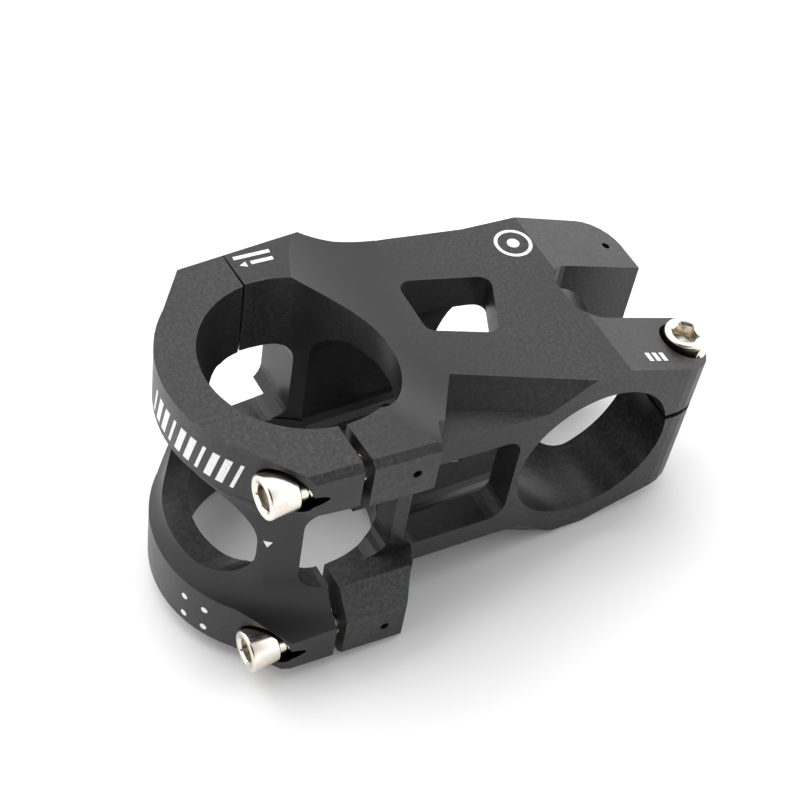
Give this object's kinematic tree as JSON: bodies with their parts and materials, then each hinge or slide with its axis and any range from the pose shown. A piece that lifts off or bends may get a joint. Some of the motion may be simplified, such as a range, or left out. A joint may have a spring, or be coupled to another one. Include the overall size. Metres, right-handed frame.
{
  "type": "handlebar stem",
  "caption": "Short bicycle handlebar stem with a removable faceplate that clamps a handlebar and a split clamp that grips a fork steerer tube.",
  "frame": {"origin": "centre of the handlebar clamp bore", "axes": "+Z along the handlebar axis, +Y along the steerer axis, +X from the handlebar bore towards the steerer bore"},
  "size_m": [0.0925, 0.0503, 0.0488],
  "materials": {
    "stem_body": "satin black anodised",
    "faceplate": "satin black anodised",
    "face_bolt_top_left": "bright plated",
    "face_bolt_top_right": "bright plated",
    "face_bolt_bottom_left": "bright plated",
    "face_bolt_bottom_right": "bright plated",
    "pinch_bolt_upper": "bright plated",
    "pinch_bolt_lower": "bright plated"
  },
  "bodies": {
    "stem": {"stem_body": "stem_body"},
    "faceplate": {"faceplate": "faceplate"},
    "face_bolt_top_left": {"face_bolt_top_left": "face_bolt_top_left"},
    "face_bolt_top_right": {"face_bolt_top_right": "face_bolt_top_right"},
    "face_bolt_bottom_left": {"face_bolt_bottom_left": "face_bolt_bottom_left"},
    "face_bolt_bottom_right": {"face_bolt_bottom_right": "face_bolt_bottom_right"},
    "pinch_bolt_upper": {"pinch_bolt_upper": "pinch_bolt_upper"},
    "pinch_bolt_lower": {"pinch_bolt_lower": "pinch_bolt_lower"}
  },
  "joints": [
    {"name": "faceplate_slide", "type": "slide", "parent": "stem", "child": "faceplate", "axis": [-0.9991, -0.0419, 0], "range_m": [0, 0.03]},
    {"name": "face_bolt_top_left_turn", "type": "hinge", "parent": "faceplate", "child": "face_bolt_top_left", "pos_m": [-0.00584, 0.01992, 0.01952], "axis": [0.9991, 0.0419, 0], "continuous": true},
    {"name": "face_bolt_top_right_turn", "type": "hinge", "parent": "faceplate", "child": "face_bolt_top_right", "pos_m": [-0.00415, -0.02034, 0.01952], "axis": [0.9991, 0.0419, 0], "continuous": true},
    {"name": "face_bolt_bottom_left_turn", "type": "hinge", "parent": "faceplate", "child": "face_bolt_bottom_left", "pos_m": [-0.00584, 0.01992, -0.01952], "axis": [0.9991, 0.0419, 0], "continuous": true},
    {"name": "face_bolt_bottom_right_turn", "type": "hinge", "parent": "faceplate", "child": "face_bolt_bottom_right", "pos_m": [-0.00415, -0.02034, -0.01952], "axis": [0.9991, 0.0419, 0], "continuous": true},
    {"name": "pinch_bolt_upper_turn", "type": "hinge", "parent": "stem", "child": "pinch_bolt_upper", "pos_m": [0.06655, 0.0145, 0], "axis": [0, 0, 1], "continuous": true},
    {"name": "pinch_bolt_lower_turn", "type": "hinge", "parent": "stem", "child": "pinch_bolt_lower", "pos_m": [0.06655, -0.0105, 0], "axis": [0, 0, 1], "continuous": true}
  ]
}
